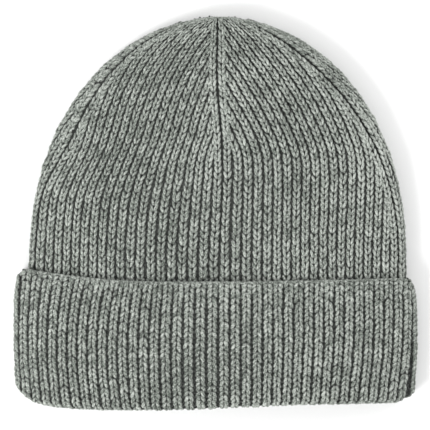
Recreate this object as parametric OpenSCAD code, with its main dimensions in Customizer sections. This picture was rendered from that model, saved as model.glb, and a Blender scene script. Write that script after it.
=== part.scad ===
// Rib-knit beanie with a turned-up cuff, lying flat on its back.
// +X is across the hat, +Y runs from the brim to the crown, +Z points up out of the front.
// The knit is drawn as a smooth sheet of its full thickness, and the ribs are left to the finish.

/* [Hat] */
// Length from the fold at the brim to the tip of the crown
hat_length = 213; // [190:1:240]
// Width of the body, laid flat
body_width = 206; // [190:1:215]
// Height of the body, laid flat, from its lowest to its highest face
body_height = 24.4; // [22:0.1:26]
// Thickness of one layer of the rib knit
knit_t = 3.2; // [2.6:0.1:3.4]

/* [Crown] */
// Where the crown starts to narrow, measured from the fold
crown_start = 77; // [76:1:100]
// Roundness of the crown's outline, where 2 is an ellipse
crown_round = 2.2; // [1.8:0.1:2.8]
// Where the darts begin, measured from the fold
dart_start = 108; // [95:1:125]
// Half width of the small hole that the drawn thread closes at the tip
tip_half = 4; // [3:0.5:6]

/* [Cuff] */
// Depth of the cuff, from the fold to its free edge
cuff_depth = 70; // [55:1:72]
// Width of the cuff at its widest
cuff_width = 220; // [216:1:224]
// Width of the cuff at its free edge
cuff_edge_width = 217; // [213:0.5:218]
// Distance from the fold at which the cuff is widest
cuff_widest = 46; // [30:1:55]
// Thickness of the cuff's single layer of knit
cuff_t = 3.4; // [3:0.1:3.4]
// Air between the cuff and the body it is turned up over
cuff_gap = 0.4; // [0.35:0.05:0.6]
// Rise of the fold at its left corner, where it rounds upwards
fold_rise = 10; // [6:1:12]
// Length of the rounded fold, front to back of its curve
fold_r = 4; // [3.5:0.1:5]
// Length of the cast-on edge
edge_len = 4; // [3:0.5:6]

/* [Seams] */
// Width of the back seam
seam_w = 3; // [2:0.5:4]
// Height of a sewn seam above the inner face of the knit
seam_h = 1.2; // [0.8:0.1:1.6]

/* [Care label] */
// Length of the folded label, away from the seam
label_len = 30; // [20:1:40]
// Width of the label, along the seam
label_w = 24; // [15:1:30]
// Thickness of the label's ribbon
label_t = 0.5; // [0.3:0.1:0.6]

/* [Hidden] */

knit_colour = [0.50, 0.52, 0.49];
seam_colour = [0.44, 0.46, 0.43];
label_colour = [0.92, 0.92, 0.90];

cuff_lift = cuff_t + cuff_gap;        // the cuff's back layer lifts the body off the surface
edge_z = 9;                           // height of the side edges, where front and back meet
cuff_height = cuff_lift + body_height + cuff_gap + cuff_t;
body_start = fold_r + 0.5;            // clear of the fold, which moves with the cuff
ramp_len = 20;                        // the back layer comes down to the surface over this length
tip_angle = acos(2 * tip_half / body_width);
lower_rows = 8;
crown_rows = 20;
body_rows = lower_rows + crown_rows;
front_cols = 14;
back_cols = 20;
band_cols = 76;
band_rows = 8;
fold_steps = 6;

// ---- the flattened tube ---------------------------------------------------------------------
// A place on the tube is (a, v). v is the distance from the fold. a goes round: 0 is the middle of
// the front, 1 the right side edge, -1 the left one, and 2 and -2 the middle of the back.

function smooth(x) = let(c = min(1, max(0, x))) c * c * (3 - 2 * c);

// Height of the front at a fraction f of the half width: a dome that steepens at the side edge.
function dome(f) = pow(max(0, 1 - pow(abs(f), 2.5)), 0.625);

// A section's point: w half width, zb back, zt front, ze side edge, rb length of the back's corner.
function section(a, w, zb, zt, ze, rb) =
    let(f = abs(a) <= 1 ? sin(90 * a) : sign(a) * sin(90 * (2 - abs(a))),
        over = max(0, abs(f) * w - (w - rb)) / rb)
    abs(a) <= 1 ? [w * f, ze + (zt - ze) * dome(f)]
                : [w * f, ze - (ze - zb) * sqrt(max(0, 1 - over * over))];

// How far the fold rises at place a. It is lowest left of the middle, and its two corners are round.
function rise(a) = let(f = sin(90 * a))
    fold_rise * (f < 0 ? pow(-f, 18) : 0.4 * pow(f, 30))
    + 3.2 * smooth((f + 0.35) / 0.95) + 1.2 * smooth((-f - 0.6) / 0.35);

// The cuff's free edge climbs towards the left side, and its two corners are round.
function edge_rise(a) = let(f = sin(90 * a))
    7 * pow(max(0, min(1, (-f - 0.3) / 0.68)), 1.6) + 1.8 * pow(max(0, f), 1.5) - 5.5 * pow(abs(f), 60);

// Stations of the body: rows up to the crown are straight, and the crown's follow an angle.
function crown_angle(i) = i <= lower_rows ? 0 : tip_angle * (i - lower_rows) / crown_rows;
function crown_part(angle) = pow(sin(angle), 2 / crown_round);
function body_v(i) = i <= lower_rows
    ? body_start + (crown_start - body_start) * i / lower_rows
    : crown_start + (hat_length - crown_start) * crown_part(crown_angle(i));

function body_half(i) = body_width / 2 * cos(crown_angle(i));
function body_lift(v) = cuff_lift * (1 - smooth((v - crown_start) / ramp_len));
function body_top(i) = let(t = crown_part(crown_angle(i)))
    (cuff_lift + body_height) * (1 - 0.2 * t * t) * pow(cos(crown_angle(i)), 0.28);

// A point of the body: row i, place a, and depth, from 0 at the outer face to 1 at the inner one.
function body_point(a, i, depth) =
    let(inset = depth * knit_t,
        v_out = body_v(i),
        t = crown_part(crown_angle(i)),
        v = v_out - inset * t,
        top = body_top(i),
        w = body_half(i) - inset * cos(crown_angle(i)),
        p = section(a, w, body_lift(v_out) + inset, top - inset,
                    top * (edge_z / (cuff_lift + body_height) + 0.13 * t),
                    max(0.6, (5 - inset) * cos(crown_angle(i)))))
    [p[0], v + rise(a) * max(0, 1 - v_out / cuff_depth), p[1]];

// Places of the side darts. They lie a little in front of the side edges, more so near the tip.
function left_dart(i) = let(t = crown_part(crown_angle(i)))
    -asin(1 - 0.03 - 0.09 * smooth((t - 0.25) / 0.3)) / 90;
function right_dart(i) = let(t = crown_part(crown_angle(i)))
    asin(1 - 0.045 - 0.28 * pow(t, 3)) / 90;
function seam_place(half_w) = 2 - asin(seam_w / 2 / half_w) / 90;

// A row's places for a panel between place a0 and place a1.
function places(a0, a1, n) = [for (j = [0 : n]) a0 + (a1 - a0) * j / n];
function front_left_places(i) = places(left_dart(i), 0, front_cols);
function front_right_places(i) = places(0, right_dart(i), front_cols);
function back_right_places(i, depth) =
    places(right_dart(i), seam_place(body_point(1, i, depth)[0]), back_cols);
function back_left_places(i, depth) =
    places(-seam_place(body_point(1, i, depth)[0]), left_dart(i), back_cols);

// A point of the cuff: distance v from the fold, place a, depth from 0 outside to 1 inside.
function cuff_half(v) = let(s = (v - cuff_widest) / (cuff_depth - cuff_widest))
    cuff_width / 2 - (s > 0 ? (cuff_width - cuff_edge_width) / 2 : 0.2) * s * s;
function cuff_y(a, v) = v + rise(a) * (1 - v / cuff_depth) + edge_rise(a) * v / cuff_depth;
function cuff_point(a, v, depth) =
    let(inset = depth * cuff_t,
        p = section(a, cuff_half(v) - inset, inset, cuff_height - inset, edge_z, 9 - inset))
    [p[0], cuff_y(a, v), p[1]];
function cuff_places(v, depth) =
    let(s = seam_place(cuff_half(v) - depth * cuff_t)) places(-s, s, band_cols);

// ---- solids from grids of points ------------------------------------------------------------

function quad(a, b, c, d) = [[a, b, c], [a, c, d]];
function flat1(list) = [for (part = list) for (item = part) item];

// A sheet with an outer and an inner grid of rows of points.
module sheet_solid(outer, inner) {
    rows = len(outer);
    cols = len(outer[0]);
    n = rows * cols;
    function o(i, j) = i * cols + j;
    function k(i, j) = n + i * cols + j;
    faces = flat1(concat(
        [for (i = [0 : rows - 2]) for (j = [0 : cols - 2])
            quad(o(i, j), o(i + 1, j), o(i + 1, j + 1), o(i, j + 1))],
        [for (i = [0 : rows - 2]) for (j = [0 : cols - 2])
            quad(k(i, j), k(i, j + 1), k(i + 1, j + 1), k(i + 1, j))],
        [for (j = [0 : cols - 2]) quad(o(0, j), o(0, j + 1), k(0, j + 1), k(0, j))],
        [for (j = [0 : cols - 2])
            quad(o(rows - 1, j), k(rows - 1, j), k(rows - 1, j + 1), o(rows - 1, j + 1))],
        [for (i = [0 : rows - 2]) quad(o(i, 0), k(i, 0), k(i + 1, 0), o(i + 1, 0))],
        [for (i = [0 : rows - 2])
            quad(o(i, cols - 1), o(i + 1, cols - 1), k(i + 1, cols - 1), k(i, cols - 1))]));
    polyhedron(concat(flat1(outer), flat1(inner)), faces, convexity = 6);
}

// A bar whose outline runs through a row of places, closed into a ring or capped at both ends.
module swept_solid(rings, closed) {
    n = len(rings);
    m = len(rings[0]);
    last = closed ? n - 1 : n - 2;
    function at(i, j) = (i % n) * m + j % m;
    walls = flat1([for (i = [0 : last]) for (j = [0 : m - 1])
        quad(at(i, j), at(i + 1, j), at(i + 1, j + 1), at(i, j + 1))]);
    caps = closed ? [] : [[for (j = [0 : m - 1]) j], [for (j = [m - 1 : -1 : 0]) (n - 1) * m + j]];
    polyhedron(flat1(rings), concat(walls, caps), convexity = 6);
}

// A round yarn along a path of points that runs along Y.
module yarn(path, d, sides = 8) {
    swept_solid([for (p = path) [for (s = [0 : sides - 1])
        p + d / 2 * [cos(360 * s / sides), 0, sin(360 * s / sides)]]], false);
}

// Moves the hat so that the origin is under the middle of its length.
module placed() {
    translate([0, -hat_length / 2, 0]) children();
}

// ---- the body -------------------------------------------------------------------------------

module panel_front_left() {
    color(knit_colour) placed() sheet_solid(
        [for (i = [0 : body_rows]) [for (a = front_left_places(i)) body_point(a, i, 0)]],
        [for (i = [0 : body_rows]) [for (a = front_left_places(i)) body_point(a, i, 1)]]);
}

module panel_front_right() {
    color(knit_colour) placed() sheet_solid(
        [for (i = [0 : body_rows]) [for (a = front_right_places(i)) body_point(a, i, 0)]],
        [for (i = [0 : body_rows]) [for (a = front_right_places(i)) body_point(a, i, 1)]]);
}

module panel_back_left() {
    color(knit_colour) placed() sheet_solid(
        [for (i = [0 : body_rows]) [for (a = back_left_places(i, 0)) body_point(a, i, 0)]],
        [for (i = [0 : body_rows]) [for (a = back_left_places(i, 1)) body_point(a, i, 1)]]);
}

module panel_back_right() {
    color(knit_colour) placed() sheet_solid(
        [for (i = [0 : body_rows]) [for (a = back_right_places(i, 0)) body_point(a, i, 0)]],
        [for (i = [0 : body_rows]) [for (a = back_right_places(i, 1)) body_point(a, i, 1)]]);
}

// The back seam closes the knit into a tube. It fills the slot between the two back panels, and
// its ridge inside dies away over the last rows, short of the tip.
module back_seam() {
    fade_rows = 4;
    function edge(i, side, depth) =
        body_point(side * seam_place(body_point(1, i, depth)[0]), i, depth);
    function lip(i) = [0, 0, seam_h * min(1, max(0, body_rows - 3 - i) / fade_rows)];
    color(seam_colour) placed() sheet_solid(
        [for (i = [0 : body_rows]) [edge(i, 1, 0), edge(i, -1, 0)]],
        [for (i = [0 : body_rows]) [edge(i, 1, 1) + lip(i), edge(i, -1, 1) + lip(i)]]);
}

// A dart's seam stands inside the crown as a low round ridge sewn into the knit.
module dart_ridge(dart_rows, inward) {
    sink = 0.3;
    half = 1.5;
    along = [inward[1], -inward[0]];
    function rib(c, s) = c + [along[0] * s, 0, along[1] * s];
    function deep(c, h) = c + [inward[0] * h, 0, inward[1] * h];
    swept_solid([for (c = dart_rows) [for (k = [0 : 6])
        deep(rib(c, half * cos(30 * k)), seam_h * sin(30 * k) - sink)]], false);
}

dart_first = min([for (i = [0 : body_rows]) if (body_v(i) >= dart_start) i]);
dart_last = body_rows - 5;

module front_dart_seam() {
    color(seam_colour) placed()
        dart_ridge([for (i = [dart_first : dart_last]) body_point(0, i, 1)], [0, -1]);
}

module left_dart_seam() {
    color(seam_colour) placed()
        dart_ridge([for (i = [dart_first : dart_last]) body_point(left_dart(i), i, 1)], [0.6, -0.8]);
}

module right_dart_seam() {
    color(seam_colour) placed()
        dart_ridge([for (i = [dart_first : dart_last]) body_point(right_dart(i), i, 1)], [-0.6, -0.8]);
}

// The last stitches are drawn together into a small boss that closes the hole at the tip.
module crown_gather() {
    function tip_places(depth) = concat(
        front_right_places(body_rows),
        [for (j = [1 : back_cols]) back_right_places(body_rows, depth)[j]],
        [for (j = [0 : back_cols]) back_left_places(body_rows, depth)[j]],
        [for (j = [1 : front_cols - 1]) front_left_places(body_rows)[j]]);
    outer = [for (a = tip_places(0)) body_point(a, body_rows, 0)];
    inner = [for (a = tip_places(1)) body_point(a, body_rows, 1)];
    n = len(outer);
    mid_z = body_top(body_rows) / 2;
    faces = concat(
        flat1([for (j = [0 : n - 1])
            quad(j, n + j, n + (j + 1) % n, (j + 1) % n)]),
        [for (j = [0 : n - 1]) [j, (j + 1) % n, 2 * n]],
        [for (j = [0 : n - 1]) [n + (j + 1) % n, n + j, 2 * n + 1]]);
    color(knit_colour) placed() polyhedron(
        concat(outer, inner, [[0, hat_length, mid_z], [0, hat_length - knit_t - 1, mid_z]]),
        faces, convexity = 4);
}

// The drawn thread is a loop of yarn just inside the tip.
thread_y = hat_length - knit_t - 3.4;
thread_z = 8.4;
module draw_thread() {
    color(seam_colour) placed()
        translate([0, thread_y, thread_z]) rotate([90, 0, 0])
            rotate_extrude($fn = 24) translate([1.9, 0]) circle(d = 1.3, $fn = 16);
}

// The thread's ends are tied in a knot inside the crown, with two short tails.
module crown_knot() {
    knot_y = thread_y - 4;
    color(seam_colour) placed() union() {
        translate([0, knot_y, thread_z]) sphere(d = 4.4, $fn = 24);
        yarn([for (s = [0 : 5]) [0.8 + 1.6 * s, knot_y - 1 - 3.2 * s, thread_z - 0.10 * s * s]], 1.4);
        yarn([for (s = [0 : 5]) [-0.8 - 1.3 * s, knot_y - 1 - 4 * s, thread_z - 0.13 * s * s]], 1.4);
    }
}

// ---- the care label -------------------------------------------------------------------------
// A folded ribbon with nothing on it, sewn beside the back seam and lying on the knit inside.

label_x = seam_w / 2 + 0.3;
label_y = 34;
label_z = cuff_lift + knit_t + 0.3;
label_gap = 0.3;

module care_label() {
    full_t = 2 * label_t + label_gap;
    color(label_colour) placed()
        translate([label_x, label_y + label_w, label_z]) rotate([90, 0, 0])
            linear_extrude(label_w) difference() {
                union() {
                    square([label_len - full_t / 2, full_t]);
                    translate([label_len - full_t / 2, full_t / 2]) circle(d = full_t, $fn = 24);
                }
                translate([-1, label_t]) square([label_len + 1 - full_t / 2, label_gap]);
                translate([label_len - full_t / 2, full_t / 2]) circle(d = label_gap, $fn = 24);
            }
}

module label_stitches() {
    stitches = 5;
    pitch = label_w / stitches;
    color(seam_colour) placed()
        for (s = [0 : stitches - 1])
            translate([label_x + 0.4, label_y + pitch * (s + 0.2), label_z + 2 * label_t + label_gap])
                cube([1.2, pitch * 0.6, 0.5]);
}

// ---- the cuff -------------------------------------------------------------------------------

module cuff_band() {
    rows = [for (r = [0 : band_rows]) fold_r + (cuff_depth - edge_len - fold_r) * r / band_rows];
    color(knit_colour) placed() sheet_solid(
        [for (v = rows) [for (a = cuff_places(v, 0)) cuff_point(a, v, 0)]],
        [for (v = rows) [for (a = cuff_places(v, 1)) cuff_point(a, v, 1)]]);
}

// The cuff's own back seam, flat within the thickness of the knit.
module cuff_back_seam() {
    function edge(v, side, depth) =
        cuff_point(side * seam_place(cuff_half(v) - depth * cuff_t), v, depth);
    rows = [for (r = [0 : band_rows]) fold_r + (cuff_depth - edge_len - fold_r) * r / band_rows];
    color(seam_colour) placed() sheet_solid(
        [for (v = rows) [edge(v, 1, 0), edge(v, -1, 0)]],
        [for (v = rows) [edge(v, 1, 1), edge(v, -1, 1)]]);
}

// The fold turns the knit back on itself, from the inside of the body to the outside of the cuff.
module brim_fold() {
    function profile(j) =
        let(a = cuff_places(fold_r, 0)[j],
            out = cuff_point(a, fold_r, 0),
            mid = cuff_point(cuff_places(fold_r, 1)[j], fold_r, 1),
            inn = let(p = body_point(a, 0, 1)) [p[0], out[1], p[2]],
            centre = (out + inn) / 2)
        concat([mid], [for (s = [0 : fold_steps])
            centre + (out - centre) * cos(180 * s / fold_steps)
                   - [0, fold_r * sin(180 * s / fold_steps), 0]]);
    color(knit_colour) placed()
        swept_solid([for (j = [band_cols : -1 : 0]) profile(j)], true);
}

// The cast-on edge finishes the cuff with a soft round rim.
module cast_on_edge() {
    v0 = cuff_depth - edge_len;
    function profile(j) =
        let(out = cuff_point(cuff_places(v0, 0)[j], v0, 0),
            inn = cuff_point(cuff_places(v0, 1)[j], v0, 1),
            centre = (out + inn) / 2)
        [for (s = [0 : fold_steps])
            centre + (out - centre) * cos(180 * s / fold_steps)
                   + [0, edge_len * sin(180 * s / fold_steps), 0]];
    color(knit_colour) placed()
        swept_solid([for (j = [0 : band_cols]) profile(j)], true);
}

panel_front_left();
panel_front_right();
panel_back_left();
panel_back_right();
back_seam();
front_dart_seam();
left_dart_seam();
right_dart_seam();
crown_gather();
draw_thread();
crown_knot();
care_label();
label_stitches();
brim_fold();
cuff_band();
cuff_back_seam();
cast_on_edge();
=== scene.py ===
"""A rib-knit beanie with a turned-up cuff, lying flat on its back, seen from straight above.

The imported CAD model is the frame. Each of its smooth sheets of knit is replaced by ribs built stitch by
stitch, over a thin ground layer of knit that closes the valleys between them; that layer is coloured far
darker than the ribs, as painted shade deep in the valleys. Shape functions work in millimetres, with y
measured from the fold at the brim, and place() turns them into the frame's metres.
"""
import math

import bpy
import numpy as np
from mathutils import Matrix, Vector


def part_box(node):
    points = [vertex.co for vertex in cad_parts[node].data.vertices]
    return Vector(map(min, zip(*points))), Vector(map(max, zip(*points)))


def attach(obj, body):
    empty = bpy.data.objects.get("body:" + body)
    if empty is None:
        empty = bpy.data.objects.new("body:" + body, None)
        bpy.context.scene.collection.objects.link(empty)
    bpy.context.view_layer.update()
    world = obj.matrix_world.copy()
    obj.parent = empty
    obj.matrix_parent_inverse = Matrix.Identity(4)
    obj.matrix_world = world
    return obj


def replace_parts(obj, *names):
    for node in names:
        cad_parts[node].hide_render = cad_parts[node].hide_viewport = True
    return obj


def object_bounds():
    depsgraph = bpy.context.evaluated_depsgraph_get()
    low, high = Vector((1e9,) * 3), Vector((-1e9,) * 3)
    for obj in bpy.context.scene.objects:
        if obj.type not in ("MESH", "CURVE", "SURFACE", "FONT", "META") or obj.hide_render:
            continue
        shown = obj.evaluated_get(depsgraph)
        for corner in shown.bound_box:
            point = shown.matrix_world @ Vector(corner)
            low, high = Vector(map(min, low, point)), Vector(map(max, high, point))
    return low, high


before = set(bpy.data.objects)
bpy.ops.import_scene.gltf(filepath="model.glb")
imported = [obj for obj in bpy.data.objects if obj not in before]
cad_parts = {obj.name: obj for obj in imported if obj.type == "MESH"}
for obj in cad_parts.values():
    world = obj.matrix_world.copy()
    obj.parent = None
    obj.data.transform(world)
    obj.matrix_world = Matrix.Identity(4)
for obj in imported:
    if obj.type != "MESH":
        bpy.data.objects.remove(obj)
cad_low, cad_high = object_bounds()
rng = np.random.default_rng(20)
MM = 1000.0
norm = np.linalg.norm

# ---- sizes, from the frame ----
FOLD_PLACE = np.array([0, cad_low[1] * MM, 0])
HAT_LENGTH = (cad_high[1] - cad_low[1]) * MM
HAT_HEIGHT = (cad_high[2] - cad_low[2]) * MM
BODY_HALF = -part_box("panel_back_left")[0][0] * MM
CUFF_HALF = cad_high[0] * MM
KNIT_T = 3.2  # one layer of the body's knit
CUFF_T = 3.4  # the cuff's layer
CUFF_GAP = 0.4  # air between the cuff and the body
CUFF_LIFT = CUFF_T + CUFF_GAP
CUFF_DEPTH = 70.0
CUFF_EDGE_HALF = 108.5  # half width at the cuff's free edge
CUFF_WIDEST = 46.0  # distance from the fold to the cuff's widest place
BODY_TOP = HAT_HEIGHT - CUFF_T - CUFF_GAP
BODY_START = 4.5  # where the body's knit begins, clear of the fold
CROWN_START = 77.0
CROWN_ROUND = 2.2  # power of the crown's outline
DART_START = 108.0  # the sewn ridges behind the darts start here
FOLD_R = 4.0
FOLD_RISE = 10.0  # rise of the fold at its left corner
GROUND_CLEAR = 0.03  # the lowest any point of the knit may lie
BODY_CORNER = 6.5  # length of the back's rounded corner, which shrinks towards the tip
CUFF_CORNER = 9.0
EDGE_Z = 9.0  # height of the side edges
TIP_HALF = 4.0  # half width of the hole that the gather closes
RIB = 5.6  # width of a rib that isn't stretched or gathered
BODY_ROW = 3.15  # height of a stitch on the body
CUFF_ROW = 2.65  # height of a stitch on the cuff, which is less stretched
FRONT_RIBS = 19  # ribs in each front quarter
BACK_RIBS = 20  # ribs in each back quarter
RIBS = 2 * (FRONT_RIBS + BACK_RIBS)


def unit(v):
    """Vectors made one long."""
    return v / np.maximum(norm(v, axis=-1, keepdims=True), 1e-9)


def smooth(x):
    x = np.clip(x, 0, 1)
    return x * x * (3 - 2 * x)


def bell(x):
    return np.exp(-np.square(x))


def running(steps, axis=0):
    """Running totals that start at 0."""
    return np.insert(np.cumsum(steps, axis=axis), 0, 0, axis=axis)


def path_run(points):
    """Distance along a path at each of its points."""
    return running(norm(np.diff(points, axis=0), axis=1))


def box_mm(node):
    """A CAD node's lowest and highest corners in millimetres, with y measured from the fold."""
    return (np.array(corner) * MM - FOLD_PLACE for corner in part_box(node))


def place(points):
    """Millimetres from the fold to metres in the frame."""
    return (points + FOLD_PLACE) / MM


def add_object(name, data):
    thing = bpy.data.objects.new(name, data)
    bpy.context.collection.objects.link(thing)
    return thing


# ---- camera, floor and light ----
VIEW_WIDTH = 0.2318  # width of the view at the hat
CAMERA_HEIGHT = 1.3
SENSOR = 36.0


def make_camera():
    data = bpy.data.cameras.new("camera")
    data.sensor_width = SENSOR
    middle = HAT_HEIGHT / MM * 0.6
    data.lens = SENSOR * (CAMERA_HEIGHT - middle) / VIEW_WIDTH
    camera = add_object("camera", data)
    camera.location = (-0.0003, -0.0013, CAMERA_HEIGHT)
    bpy.context.scene.camera = camera


def make_floor():
    half = 4.0  # metres
    mesh = bpy.data.meshes.new("floor")
    corners = [(-half, -half, 0), (half, -half, 0), (half, half, 0), (-half, half, 0)]
    mesh.from_pydata(corners, [], [(0, 1, 2, 3)])
    floor = add_object("floor", mesh)
    material = bpy.data.materials.new("white_floor")
    material.use_nodes = True
    shader = material.node_tree.nodes["Principled BSDF"]
    shader.inputs["Base Color"].default_value = (0.93, 0.93, 0.93, 1)
    shader.inputs["Roughness"].default_value = 0.9
    shader.inputs["Specular IOR Level"].default_value = 0.1
    mesh.materials.append(material)


def area_light(name, location, size, power):
    data = bpy.data.lights.new(name, "AREA")
    data.size = size
    data.energy = power
    light = add_object(name, data)
    light.location = location
    aim = Vector((0, 0, HAT_HEIGHT / MM / 2)) - Vector(location)
    light.rotation_euler = aim.to_track_quat("-Z", "Y").to_euler()


def make_light():
    world = bpy.data.worlds.new("studio")
    world.use_nodes = True
    background = world.node_tree.nodes["Background"].inputs
    background["Color"].default_value = (1, 1, 1, 1)
    background["Strength"].default_value = 0.82
    bpy.context.scene.world = world
    area_light("key", (-0.68, -0.54, 0.72), 0.45, 9.5)
    area_light("fill", (0.62, 0.60, 0.75), 0.6, 4.0)
    bpy.context.scene.view_settings.view_transform = "Standard"


make_camera()
make_floor()
make_light()


# ---- the surface of the knit ----
# Places go round the tube: -2 and 2 are the middle of the back, -1 the left edge, 0 the front, 1 the
# right edge. Stations go from the brim to the tip.


def section(a, w, back, front, edge, corner):
    """x and z of the section at places a: a dome in front, and flat behind with rounded corners."""
    a = np.asarray(a, float)
    behind = np.sign(a) * np.sin(np.pi / 2 * (2 - np.abs(a)))
    f = np.where(np.abs(a) <= 1, np.sin(np.pi / 2 * a), behind)
    dome = np.maximum(0, 1 - np.abs(f) ** 2.5) ** 0.625
    over = np.clip((np.abs(f) * w - (w - corner)) / corner, 0, 1)
    below = edge - (edge - back) * np.sqrt(1 - over * over)
    return w * f, np.where(np.abs(a) <= 1, edge + (front - edge) * dome, below)


def rise(a):
    """The fold is lowest left of the middle, and its corners are round."""
    f = np.sin(np.pi / 2 * a)
    corner = FOLD_RISE * np.where(f < 0, np.abs(f) ** 18, 0.4 * np.abs(f) ** 30)
    return corner + 3.2 * smooth((f + 0.35) / 0.95) + 1.2 * smooth((-f - 0.6) / 0.35)


def edge_rise(a):
    """The cuff's free edge climbs towards the left, and its corners are round."""
    f = np.sin(np.pi / 2 * a)
    left = 7.0 * np.clip((-f - 0.3) / 0.68, 0, 1) ** 1.6
    return left + 1.8 * np.clip(f, 0, 1) ** 1.5 - 5.5 * np.abs(f) ** 60


PLACES = np.linspace(-2, 2, 1601)
STRAIGHT = 73  # stations below the crown
CROWN = 170  # stations in the crown
TIP_ANGLE = math.acos(TIP_HALF / BODY_HALF)
ANGLE = np.concatenate([np.zeros(STRAIGHT), np.linspace(0, TIP_ANGLE, CROWN + 1)[1:]])
CROWN_PART = np.sin(ANGLE) ** (2 / CROWN_ROUND)
STATION_Y = CROWN_START + (HAT_LENGTH - CROWN_START) * CROWN_PART
STATION_Y[:STRAIGHT] = np.linspace(BODY_START, CROWN_START, STRAIGHT)
STATIONS = np.arange(len(STATION_Y))


def body_lean(y):
    """The body lies a little to the right of the cuff's middle, and more so towards the tip."""
    crown = np.clip((y - CROWN_START) / (HAT_LENGTH - CROWN_START), 0, 1)
    return 1.1 * smooth(y / CROWN_START) + 1.1 * crown


def body_rows():
    rows = []
    for y, angle, part in zip(STATION_Y, ANGLE, CROWN_PART):
        squeeze = math.cos(angle)
        top = BODY_TOP * (1 - 0.2 * part * part) * squeeze ** 0.28
        back = CUFF_LIFT * (1 - smooth((y - CROWN_START) / 20.0))
        edge = top * (EDGE_Z / BODY_TOP + 0.13 * part)
        corner = max(0.8, BODY_CORNER * squeeze ** 0.6)
        x, z = section(PLACES, BODY_HALF * squeeze, back, top, edge, corner)
        up = rise(PLACES) * max(0, 1 - y / CUFF_DEPTH)
        rows.append(np.stack([x + body_lean(y), y + up, z], axis=1))
    return np.array(rows)


def left_dart():
    return -np.arcsin(1 - 0.03 - 0.09 * smooth((CROWN_PART - 0.25) / 0.3)) / (np.pi / 2)


def right_dart():
    return np.arcsin(1 - 0.045 - 0.28 * CROWN_PART ** 3) / (np.pi / 2)


CUFF_Y = np.linspace(FOLD_R, CUFF_DEPTH - 1.7, 66)


def cuff_rows():
    rows = []
    for y in CUFF_Y:
        s = (y - CUFF_WIDEST) / (CUFF_DEPTH - CUFF_WIDEST)
        half = CUFF_HALF - (CUFF_HALF - CUFF_EDGE_HALF if s > 0 else 0.2) * s * s
        x, z = section(PLACES, half, 0, HAT_HEIGHT, EDGE_Z, CUFF_CORNER)
        x = x * np.where(x > 0, 1 - 0.008 * (1 - smooth(y / 34.0)), 1)
        lift = rise(PLACES) * (1 - y / CUFF_DEPTH) + edge_rise(PLACES) * y / CUFF_DEPTH
        rows.append(np.stack([x, y + lift, z], axis=1))
    return np.array(rows)


class Skin:
    """The outer face of a tube of knit, found by station and by distance round it in millimetres."""

    columns = 1401

    def __init__(self, rows):
        self.run = running(norm(np.diff(rows, axis=1), axis=2), axis=1)
        self.girth = self.run[:, -1]
        share = np.linspace(0, 1, self.columns)
        self.points = np.array([
            np.stack([np.interp(share * g, run, row[:, k]) for k in range(3)], axis=1)
            for g, run, row in zip(self.girth, self.run, rows)
        ])
        across = np.gradient(self.points, axis=1)
        across[:, 0] = across[:, -1] = (across[:, 1] + across[:, -2]) / 2
        up = np.gradient(self.points, axis=0)
        self.across = unit(across)
        self.normals = unit(np.cross(across, up))

    def distance(self, places):
        """Distance round each station to its place, for one place per station."""
        return np.array([np.interp(a, PLACES, run) for a, run in zip(places, self.run)])

    def front_distance(self, station, x):
        """Distance round a station to where its front has the given x."""
        row = self.points[station, :, 0]
        first, last = int(np.argmin(row)), int(np.argmax(row))
        share = np.linspace(0, 1, self.columns)[first:last + 1]
        return np.interp(x, row[first:last + 1], share) * self.girth[station]

    def at(self, station, s):
        """Points, normals and directions round the tube, at stations and distances s."""
        station, s = np.broadcast_arrays(np.asarray(station, float), np.asarray(s, float))
        last = len(self.girth) - 1
        i = np.clip(np.floor(station).astype(int), 0, last - 1)
        fi = np.clip(station - i, 0, 1)[..., None]
        girth = np.interp(station, np.arange(last + 1), self.girth)
        column = (s / girth % 1.0) * (self.columns - 1)
        j = np.clip(np.floor(column).astype(int), 0, self.columns - 2)
        fj = (column - j)[..., None]

        def mix(table):
            low = table[i, j] * (1 - fj) + table[i, j + 1] * fj
            high = table[i + 1, j] * (1 - fj) + table[i + 1, j + 1] * fj
            return low * (1 - fi) + high * fi

        return mix(self.points), unit(mix(self.normals)), unit(mix(self.across))


body_skin = Skin(body_rows())
cuff_skin = Skin(cuff_rows())


# ---- the lie of the ribs ----
GATHER = 3.0  # the ribs draw together once the crown is about this much narrower
KEEP = 1.15  # how far they keep their width before that; they slant, so it is over 1
DART_GAP = 0.08  # the valley of a dart is a little wider than the others
EDGE_TUCK = 0.45  # a rib ends this far under the edge rib that runs along the dart


def even_table(low, high, pitch):
    """Shares of the way from x = low to high at which ribs lie whose widths follow pitch(x)."""
    x = np.linspace(low, high, 400)
    run = running(1 / pitch((x[1:] + x[:-1]) / 2))
    return run / run[-1], x


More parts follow.
